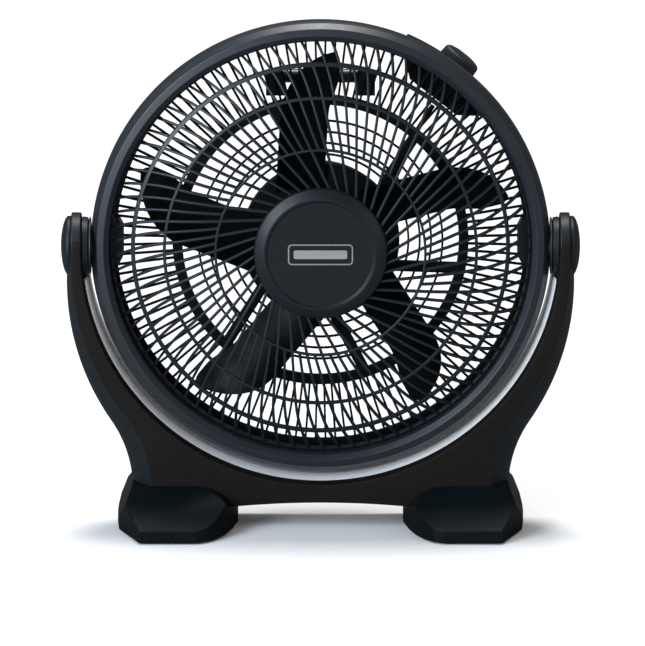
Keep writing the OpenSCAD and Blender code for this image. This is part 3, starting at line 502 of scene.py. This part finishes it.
# %% Rear guard
REAR_BARS, BAND_R, STRUT_MISS, STRUT_W = 128, 150.0, 24.0, 10.7
RIM_R = OPEN_R + 0.6
back = Bag()
for k in range(REAR_BARS):
    start = len(back.points)
    back.loops([
        [(x, -1.1, -28), (x, 1.1, -28), (x, 1.1, -24.5), (x, 0.6, -24), (x, -0.6, -24), (x, -1.1, -24.5)]
        for x in (BAND_R - 3, RIM_R - 4)
    ])
    back.turned((k + 0.5) * 360 / REAR_BARS, start)
for lo, hi, f0, f1 in ((RIM_R - 7.2, RIM_R, -27.4, -22), (BAND_R - 10, BAND_R, -30, -22),
                       (PLATE_R - 3, PLATE_R, -30, -22), (19, PLATE_R - 1, -25, -22.1)):
    back.lathe(rounded([(lo, f0), (lo, f1), (hi, f1), (hi, f0)], 1.0, 3), 180)
for i in range(4):
    r = PLATE_R + 9 + 11.5 * i
    back.lathe(rounded([(r - 1.1, -27), (r - 1.1, -24), (r + 1.1, -24), (r + 1.1, -27)], 0.5, 2), 180)
half = STRUT_W / 2
s_in = sqrt((PLATE_R - 1.5) ** 2 - (STRUT_MISS + half) ** 2)
s_out = sqrt((BAND_R - 3) ** 2 - (STRUT_MISS + half) ** 2)
for k in range(6):
    start = len(back.points)
    back.loops([
        [(x, y - STRUT_MISS, f) for y, f in (
            (-half, -29.6), (half, -29.6), (half, -23.2), (half - 0.9, -22.4), (0.9 - half, -22.4),
            (-half, -23.2))]
        for x in (s_in, s_out)
    ])
    back.turned(58 + 60 * k, start)
for side in (-1, 1):
    pad = ((-9.5, 149), (9.5, 149), (9.5, 174), (-9.5, 174))
    back.prism([(side * 45.5 + x, h) for x, h in pad], -29, -24, 0.8)
back.make("rear_guard", "head", rear_mat, "grille_plastic", ["rear_grille"], sharp=45)
print("rear bars:", REAR_BARS)

# %% [markdown]
# ## Impeller
#
# Five paddle blades. Each one is a grid bent on a circle, with its leading edge at the back and its
# rounded trailing side at the front. The leading edge flares near the tip.

# %% Impeller
BLADE_W, RISE, BACK, CAMBER = 48.5, 31.0, -18.0, 6.0
ROUND_R = 64.0


def blade_z(x):
    """Axial place of the blade's middle surface at x, and the circle that it is bent on."""
    chord = sqrt(BLADE_W**2 + RISE**2)
    big = (chord**2 / 4 + CAMBER**2) / (2 * CAMBER)
    lean = atan(RISE / BLADE_W)
    cx = BLADE_W / 2 - sin(lean) * (big - CAMBER)
    cz = BACK + RISE / 2 + cos(lean) * (big - CAMBER)
    return cz - sqrt(max(big**2 - (x - cx) ** 2, 0)), cx, cz, big


def blade_rings(count_v=26, count_u=14, thick=2.0):
    """Cross-sections of one blade from hub to tip, along +h, with the chord towards -x."""
    tip = TIP_R - 0.6
    rings = []
    for v in 54.4 + (tip - 54.4) * np.sin(np.linspace(0, pi / 2, count_v)):
        over = max(v - (TIP_R - ROUND_R), 0)
        x1 = BLADE_W - ROUND_R + sqrt(max(ROUND_R**2 - over**2, 0))
        flare = min(max((v - 132) / 40, 0), 1)
        lead = max(v - (tip - 11), 0)
        x0 = min(11 - sqrt(max(121 - lead**2, 0)) - 8.5 * flare * flare * (3 - 2 * flare), x1 - 0.6)
        front, rear = [], []
        for t in np.linspace(0, 1, count_u):
            x = x0 + (x1 - x0) * t
            z, cx, cz, big = blade_z(x)
            nx, nz = (x - cx) / big, (z - cz) / big
            edge = min(1.0, 0.25 + 4 * min(t, 1 - t))
            half_t = thick / 2 * edge
            front.append((-(x - nx * half_t), v, z - nz * half_t))
            rear.append((-(x + nx * half_t), v, z + nz * half_t))
        rings.append(front + rear[::-1])
    return rings


fan = Bag()
for k in range(5):
    start = len(fan.points)
    fan.loops(blade_rings())
    fan.turned(-3.5 + 72 * k, start)
fan.lathe(rounded([
    (56, -16), (56, 20), (54, 22), (53.4, 22), (53.4, 13.5), (9, 13.5), (9, 11), (53.4, 11), (53.4, -16),
], 0.8, 2), 120)
fan.make("fan_blades", "fan_rotor", blade_mat, "blade_plastic", ["impeller"], sharp=60)
print("blade tip radius", round(TIP_R, 1))

# %% [markdown]
# ## Cradle
#
# The cradle is one swept skin. Its cross-section runs from the inner circle, over a lip with painted
# shade, across the flat face, and back round the bulging side, which has painted light. The section
# travels up an arm, turns over the rounded arm top about the tilt axis, and comes down the other face.


# %% Cradle outlines
def outline_radius(drop, out_r, leg_x, top_r):
    """Distance of the cradle's outer edge from the tilt axis, by angle below horizontal."""
    fillet, arch = 130.0, 943.0
    reach = out_r + fillet
    fx = leg_x + fillet
    fy = -drop - sqrt(reach**2 - fx**2)
    side = degrees(atan2(-drop - fy, fx))
    bottom = 12 - AXIS_H
    pts = []
    last = degrees(atan2(drop + out_r * sin(radians(side)), out_r * cos(radians(side))))
    for angle in np.linspace(0, last, 44):
        c, q = cos(radians(angle)), sin(radians(angle))
        far = max(d * q + sqrt(r * r - (d * c) ** 2) for d, r in ((10.7, top_r), (drop, out_r)))
        pts.append((far * c, -far * q))
    pts += [(x, h) for x, h in arc(fx, fy, fillet, 180 - side, 180, 12)[1:] if h > bottom]
    inner = FOOT_OUT - 116
    low = -(CRADLE_R + 21.5)
    pts += [(leg_x, bottom), (inner + 6, bottom), (inner, low - (inner**2) / (2 * arch))]
    pts += [(x, low - x * x / (2 * arch)) for x in np.linspace(inner, 0, 14)[1:]]
    angle = [degrees(atan2(-h, x)) for x, h in pts]
    dist = [sqrt(x * x + h * h) for x, h in pts]
    order = np.argsort(angle)
    return np.array(angle)[order], np.array(dist)[order]


FRONT_EDGE = outline_radius(14, ARM_X - 2, FOOT_OUT - 33, ARM_X - 1.5)
MID_EDGE = outline_radius(38, ARM_X + 3.5, FOOT_OUT - 15, ARM_X)


def edge_at(edge, angle):
    return float(np.interp(angle, edge[0], edge[1]))


def cradle_section(angle):
    """Half cross-section at an angle below horizontal, as (radius, f), from inside to outside."""
    front, mid = edge_at(FRONT_EDGE, angle), edge_at(MID_EDGE, angle)
    deep = ARM_R
    pts = [(CRADLE_R + 0.4, 0), (CRADLE_R + 1.9, deep - 14), (CRADLE_R + 1.2, deep - 13)]
    pts.append((CRADLE_R + 1.3, deep - 12))
    pts += [(CRADLE_R + 2.6, deep - 1.2), (CRADLE_R + 3.1, deep - 0.3), (CRADLE_R + 4.0, deep)]
    for t in (0.35, 0.7):
        pts.append((CRADLE_R + 4 + (front - 5.4 - CRADLE_R) * t, deep))
    pts += [(front - 1.3, deep), (front - 0.35, deep - 0.35), (front, deep - 1.2)]
    for t in (0.2, 0.4, 0.6, 0.8, 1.0):
        f = (deep - 1.2) * (1 - t)
        pts.append((front + (mid - front) * (1 - (1 - t) ** 2), f))
    return pts


stations = sorted(set(
    [90 - 90 * (k / 60) for k in range(61)]
    + list(FRONT_EDGE[0][(FRONT_EDGE[0] > 0) & (FRONT_EDGE[0] < 90)])
    + list(MID_EDGE[0][(MID_EDGE[0] > 0) & (MID_EDGE[0] < 90)])
))
stations = [a for i, a in enumerate(stations) if i == 0 or a - stations[i - 1] > 0.12][::-1]
print("cradle stations:", len(stations))


# %% Cradle skin
def cradle_rows(side):
    """Rows of points from bottom centre at the front, over one arm, to bottom centre at the back."""
    rows, top = [], cradle_section(0)
    for a in stations:
        c, s = cos(radians(a)), sin(radians(a))
        rows.append([(side * r * c, -r * s, f) for r, f in cradle_section(a)])
    for turn in range(10, 180, 10):
        c, s = cos(radians(turn)), sin(radians(turn))
        rows.append([(side * x, f * s, f * c) for x, f in top])
    for a in stations[::-1]:
        c, s = cos(radians(a)), sin(radians(a))
        rows.append([(side * r * c, -r * s, -f) for r, f in cradle_section(a)])
    return rows


cradle = Bag()
count = len(cradle_section(0))
for side in (-1, 1):
    rows = cradle_rows(side)
    faces = []
    for i in range(len(rows) - 1):
        for j in range(count - 1):
            a, b = i * count + j, (i + 1) * count + j
            faces.append([a, a + 1, b + 1, b])
    cradle.add([p for row in rows for p in row], faces)
stand = cradle.make("cradle_shell", "stand", face_mat, "cradle_plastic",
                    ["stand_front_shell", "stand_rear_shell"], sharp=58)
stand.data.materials.append(painted_side_light_mat)
# Forward faces and the inner lip take the darker brownish copy as painted shade; all other faces take the
# lighter bluish copy as painted light.
for poly in stand.data.polygons:
    mid = poly.center
    inner_lip = Vector((mid.x, mid.z - AXIS_H * MM)).length < (CRADLE_R + 3) * MM
    poly.material_index = 0 if abs(poly.normal.y) > 0.93 or inner_lip else 1
print("cradle faces:", len(stand.data.polygons))

# %% [markdown]
# ## Feet
#
# A foot is the overlap of three prisms: its plan, its side view and its front view. The overlap gives the
# sloping facets at the corners, and a small bevel softens every edge.


# %% Feet
def extruded(outline, axis, low, high):
    """A bmesh prism of an outline in metres, extruded along an axis (0 is x, 1 is y, 2 is z)."""
    bm = bmesh.new()
    others = [i for i in range(3) if i != axis]
    rings = []
    for level in (low, high):
        ring = []
        for a, b in outline:
            co = [0.0, 0.0, 0.0]
            co[axis], co[others[0]], co[others[1]] = level * MM, a * MM, b * MM
            ring.append(bm.verts.new(co))
        rings.append(ring)
    n = len(outline)
    bm.faces.new(rings[0])
    bm.faces.new(rings[1])
    for i in range(n):
        bm.faces.new([rings[0][i], rings[0][(i + 1) % n], rings[1][(i + 1) % n], rings[1][i]])
    bmesh.ops.recalc_face_normals(bm, faces=bm.faces)
    mesh = bpy.data.meshes.new("prism")
    bm.to_mesh(mesh)
    bm.free()
    obj = bpy.data.objects.new("prism", mesh)
    bpy.context.scene.collection.objects.link(obj)
    return obj


def applied(obj):
    """Bakes an object's modifiers into its mesh."""
    dg = bpy.context.evaluated_depsgraph_get()
    mesh = bpy.data.meshes.new_from_object(obj.evaluated_get(dg))
    obj.modifiers.clear()
    obj.data = mesh
    return obj


half_l, edge_h = FOOT_HALF, 14.0
plan = [
    (FOOT_OUT - 23, -half_l), (FOOT_OUT - 82, -half_l), (FOOT_OUT - 93, -half_l + 6),
    (FOOT_OUT - 102, -half_l + 17),
    (FOOT_OUT - 110, -half_l + 33), (FOOT_OUT - 117, -half_l + 57), (FOOT_IN, -12), (FOOT_IN, 12),
    (FOOT_OUT - 117, half_l - 57), (FOOT_OUT - 110, half_l - 33), (FOOT_OUT - 102, half_l - 17),
    (FOOT_OUT - 93, half_l - 6), (FOOT_OUT - 82, half_l), (FOOT_OUT - 23, half_l),
    (FOOT_OUT - 2, 43), (FOOT_OUT, 12), (FOOT_OUT, -12), (FOOT_OUT - 2, -43),
]
side_view = [
    (-half_l, PAD_H), (-half_l, edge_h), (-ARM_R, FOOT_TOP), (ARM_R, FOOT_TOP), (half_l, edge_h),
    (half_l, PAD_H),
]
front_view = [
    (FOOT_IN, PAD_H), (FOOT_IN, edge_h), (FOOT_IN + 6, edge_h + 12), (FOOT_IN + 15, edge_h + 22),
    (FOOT_IN + 27, edge_h + 28), (FOOT_IN + 44, FOOT_TOP), (FOOT_OUT - 15, FOOT_TOP),
    (FOOT_OUT, edge_h), (FOOT_OUT, PAD_H),
]
for side, name in ((1, "foot_right"), (-1, "foot_left")):
    blank = extruded([(side * x, y) for x, y in plan], 2, PAD_H, FOOT_TOP + 1)
    cutters = [
        extruded(side_view, 0, -260 if side < 0 else 0, 0 if side < 0 else 260),
        extruded([(side * x, z) for x, z in front_view], 1, -200, 200),
    ]
    for cutter in cutters:
        mod = blank.modifiers.new("cut", "BOOLEAN")
        mod.operation, mod.object, mod.solver = "INTERSECT", cutter, "EXACT"
    applied(blank)
    for cutter in cutters:
        bpy.data.objects.remove(cutter)
    bevel = blank.modifiers.new("soft edges", "BEVEL")
    bevel.width, bevel.segments, bevel.limit_method = 1.6 * MM, 3, "ANGLE"
    bevel.angle_limit = radians(14)
    applied(blank)
    for poly in blank.data.polygons:
        poly.use_smooth = True
    even = blank.modifiers.new("even normals", "WEIGHTED_NORMAL")
    even.keep_sharp = True
    blank.name = name + "_shell"
    blank.data.materials.clear()
    blank.data.materials.append(foot_mat)
    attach(blank, "stand")
    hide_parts(name)
print("feet made")

# %% [markdown]
# ## Pivots, strip and knob
#
# Round caps close the arms at the tilt axis. The silver strip lines the cradle and widens towards its
# front edge. The knob has fine flutes round its side.

# %% Pivot caps
CAP_SEAT, CAP_BASE = ARM_X - 3.2, ARM_X + 0.4
for side, name in ((1, "pivot_cap_right"), (-1, "pivot_cap_left")):
    pivot_cap = Bag()
    skin = [(CAP_SEAT, 0.01), (CAP_SEAT, 29.8), (CAP_BASE, 30)]
    for r in (29.6, 28.6, 27, 24.5, 21, 16.5, 11, 5.5, 0.01):
        skin.append((CAP_BASE + 8.6 * sqrt(max(1 - (r / 30.6) ** 2, 0)), r))
    pivot_cap.side_lathe(skin, side, 96)
    # The cap takes the lighter bluish copy of the cradle plastic, which is painted light for a surface
    # that faces sideways.
    pivot_cap.make(name + "_dome", "stand", painted_side_light_mat, "cradle_plastic", [name])

strip = Bag()
lo, hi = ARM_R - 13.2, -ARM_R + 4
section = rounded([
    (CRADLE_R + 1.7, lo), (CRADLE_R + 1.1, lo), (CRADLE_R - 2.2, lo - 17), (CRADLE_R - 2.5, hi),
    (CRADLE_R, hi), (CRADLE_R, lo - 17),
], 0.6, 3)
strip.loops([
    [(r * cos(radians(a)), r * sin(radians(a)), f) for r, f in section]
    for a in np.linspace(180 + 7.4, 360 - 7.4, 150)
])
strip.make("silver_strip", "stand", silver_mat, "silver_strip", ["silver_trim"])
print("caps and strip made")


# %% Speed knob
def on_knob(points):
    """Turns (along, across, back) points of the knob into head points."""
    c, s = cos(radians(KNOB_ANGLE)), sin(radians(KNOB_ANGLE))
    return [(a * c - b * s, a * s + b * c, f - KNOB_BACK) for a, b, f in points]


knob = Bag()
FLUTES = 40
bottom, top = DRUM_R + 0.8, DRUM_R + 12.5
rows = [(bottom, 20.2), (bottom + 0.4, 20.7), (top - 4.2, 20.2), (top - 2.4, 19.4), (top - 1.0, 17.6),
        (top - 0.2, 14.5), (top - 0.1, 8), (top - 0.1, 0.01)]
rings = []
for i, (along, r) in enumerate(rows):
    ring_pts = []
    for k in range(FLUTES * 6):
        a = 2 * pi * k / (FLUTES * 6)
        dent = 0.7 * max(0.0, cos(FLUTES * a)) ** 2 if i < 4 else 0.0
        ring_pts.append((along, (r - dent) * cos(a), (r - dent) * sin(a)))
    rings.append(on_knob(ring_pts))
knob.loops(rings)
knob.make("speed_knob_cap", "knob", knob_mat, "knob_plastic", ["speed_knob"], sharp=55)
print("knob flutes:", FLUTES)

# %% [markdown]
# ## Switch housing and pivot bosses
#
# The switch housing is a closed block under the rim, turned to the knob's angle. Each boss has a bore for
# the pivot bolt and a pocket for its nut, and bulges inwards behind the guard. A collar on the arm fills
# the gap beside it. The motor cover and the carry handle keep their CAD shape.

# %% Switch housing
edge_r = DRUM_R - 1
edge = [(edge_r * cos(t), edge_r * sin(t)) for t in np.linspace(-0.255, 0.255, 21)]
outline = [(DRUM_R - 38, -30), (DRUM_R - 22, -52)] + edge + [(DRUM_R - 22, 52), (DRUM_R - 38, 30)]
turn = radians(KNOB_ANGLE)
c, q = cos(turn), sin(turn)
housing = Bag()
back_f = span("switch_housing", 1)[1]
outline = [(x * c - y * q, x * q + y * c) for x, y in outline]
housing.prism(outline, -back_f, -DRUM_BACK - 0.2, 2.0)
housing.make("switch_housing_shell", "head", rear_mat, "head_plastic", ["switch_housing"], sharp=35)
print("switch housing", round(back_f, 1), "deep at the back")

# %% Pivot bosses and collars
JOURNAL = span("pivot_boss_right", 0)[1]
BOSS_OUT = HEAD_R + 1.6
BORE_R, POCKET_R = 6.6, 12.2
for side, name in ((1, "pivot_boss_right"), (-1, "pivot_boss_left")):
    boss = Bag()
    boss.side_lathe(rounded([
        (JOURNAL, BORE_R), (JOURNAL, 16.8), (BOSS_OUT, 16.9), (BOSS_OUT, 27.6), (BOSS_OUT - 1, 28.6),
        (HEAD_R - 0.4, 28.6), (HEAD_R - 0.4, 15), (OPEN_R + 3, 15), (OPEN_R + 3, POCKET_R),
        (OPEN_R + 13.6, POCKET_R), (OPEN_R + 13.6, BORE_R),
    ], 0.6, 3), side, 72)
    half = [(OPEN_R + 6, 27), (OPEN_R - 4, 27), (OPEN_R - 9, 24), (OPEN_R - 14, 14)]
    bulge = half + [(x, -z) for x, z in half[::-1]]
    boss.prism([(side * x, z) for x, z in bulge[::side]], -SEAM - 34, -SEAM - 5, 2.5)
    boss.make(name + "_shell", "head", ring_mat, "head_plastic", [name], sharp=50)
    collar = Bag()
    collar.side_lathe(rounded([
        (BOSS_OUT + 0.7, 20.6), (BOSS_OUT + 0.7, 28.6), (CRADLE_R + 1.6, 29.4),
        (CRADLE_R + 1.6, 20.6),
    ], 0.6, 2), side, 72)
    # The collar takes the same lighter bluish copy of the cradle plastic, which is painted light.
    collar.make(name + "_collar", "stand", painted_side_light_mat, "cradle_plastic", sharp=50)
print("bosses reach", round(JOURNAL, 1))

# %% Finishes for the CAD nodes that stay
finish = {
    ring_mat: ["rear_motor_cover", "carry_handle", "lead_clips"],
    blade_mat: ["spinner_nut"],
    rubber_mat: ["foot_pads", "cord_gland", "switch_lead"],
    nylon_mat: ["arm_bushes"],
    steel_mat: [
        "foot_screws", "shell_screws", "pivot_bolts", "pivot_nuts", "friction_washers", "ring_screws",
        "guard_screws", "rear_grille_screws", "motor_through_bolts", "motor_mount_screws",
        "cover_screws", "switch_nut", "switch_housing_screws", "handle_screws", "drive_pin",
        "motor_shaft", "motor_bearings",
    ],
    cast_mat: ["motor_front_bell", "motor_rear_bell"],
    stack_mat: ["stator_stack", "rotor_core"],
    copper_mat: ["stator_windings"],
    case_mat: ["run_capacitor"],
    bakelite_mat: ["rotary_switch"],
}
for mat, names in finish.items():
    for name in names:
        nodes[name].data.materials.clear()
        nodes[name].data.materials.append(mat)
print("CAD nodes finished:", sum(len(v) for v in finish.values()))

# %% [markdown]
# ## Stage, light and camera
#
# A pale floor runs to a white world. Two bluish soft boxes stand at the upper left and the front left,
# with a faint fill at the right and a broad soft sun overhead. Floor and world are darker to glossy rays,
# so that they don't wash out the black plastics.

# %% Stage
floor_mesh = bpy.data.meshes.new("studio_floor")
floor_mesh.from_pydata([(-40, -40, 0), (40, -40, 0), (40, 40, 0), (-40, 40, 0)], [], [(0, 1, 2, 3)])
floor = bpy.data.objects.new("studio_floor", floor_mesh)
bpy.context.scene.collection.objects.link(floor)
floor_mat = bpy.data.materials.new("studio_white")
floor_mat.use_nodes = True
tree = floor_mat.node_tree
floor_bsdf = tree.nodes["Principled BSDF"]
floor_bsdf.inputs["Roughness"].default_value = 0.9
floor_bsdf.inputs["Specular IOR Level"].default_value = 0.0
floor_path = tree.nodes.new("ShaderNodeLightPath")
floor_tone = tree.nodes.new("ShaderNodeMix")
floor_tone.data_type = "RGBA"
floor_tone.inputs["A"].default_value = (0.93, 0.925, 0.93, 1)
floor_tone.inputs["B"].default_value = (0.12, 0.12, 0.125, 1)
tree.links.new(floor_path.outputs["Is Glossy Ray"], floor_tone.inputs["Factor"])
tree.links.new(floor_tone.outputs["Result"], floor_bsdf.inputs["Base Color"])
floor.data.materials.append(floor_mat)

world = bpy.data.worlds.new("studio")
bpy.context.scene.world = world
world.use_nodes = True
sky = world.node_tree
background = sky.nodes["Background"]
path = sky.nodes.new("ShaderNodeLightPath")
level = sky.nodes.new("ShaderNodeMapRange")
level.inputs["To Min"].default_value, level.inputs["To Max"].default_value = 0.42, 0.10
sky.links.new(path.outputs["Is Glossy Ray"], level.inputs["Value"])
sky.links.new(level.outputs["Result"], background.inputs["Strength"])
background.inputs["Color"].default_value = (1, 1, 1, 1)


def area_light(name, place, target, size, power, colour=(1, 1, 1)):
    """A rectangular soft box aimed at a point."""
    data = bpy.data.lights.new(name, "AREA")
    data.shape, data.size, data.size_y = "RECTANGLE", size[0], size[1]
    data.energy, data.color = power, colour
    obj = bpy.data.objects.new(name, data)
    obj.location = place
    obj.rotation_euler = (Vector(target) - Vector(place)).to_track_quat("-Z", "Y").to_euler()
    bpy.context.scene.collection.objects.link(obj)
    return obj


centre = (0, 0, AXIS_H * MM)
area_light("key", (-1.7, -1.5, 1.7), centre, (1.3, 1.3), 30, (0.74, 0.88, 1.0))
area_light("front left", (-2.25, -2.7, 1.15), centre, (1.2, 1.2), 60, (0.80, 0.91, 1.0))
area_light("fill", (1.8, -1.4, 0.9), centre, (0.8, 1.2), 3, (0.90, 0.95, 1.0))
sun = bpy.data.lights.new("overhead", "SUN")
sun.energy, sun.angle = 2.3, radians(16)
sun_obj = bpy.data.objects.new("overhead", sun)
sun_obj.rotation_euler = (radians(-13), 0, 0)
bpy.context.scene.collection.objects.link(sun_obj)

# %% Camera
CAMERA_RANGE, CAMERA_RISE, AIM = 7.0, 12.5, 0.642
rise = radians(CAMERA_RISE)
camera_data = bpy.data.cameras.new("camera")
camera_data.sensor_width = 36
camera_data.lens = 386.4
camera_data.clip_end = 200
camera = bpy.data.objects.new("camera", camera_data)
camera.location = (0.002, -CAMERA_RANGE * cos(rise), AXIS_H * MM + CAMERA_RANGE * sin(rise))
camera.rotation_euler = (radians(90 - CAMERA_RISE - AIM), 0, 0)
bpy.context.scene.collection.objects.link(camera)
bpy.context.scene.camera = camera
bpy.context.scene.view_settings.view_transform = "Standard"
print("camera at", tuple(round(v, 3) for v in camera.location))
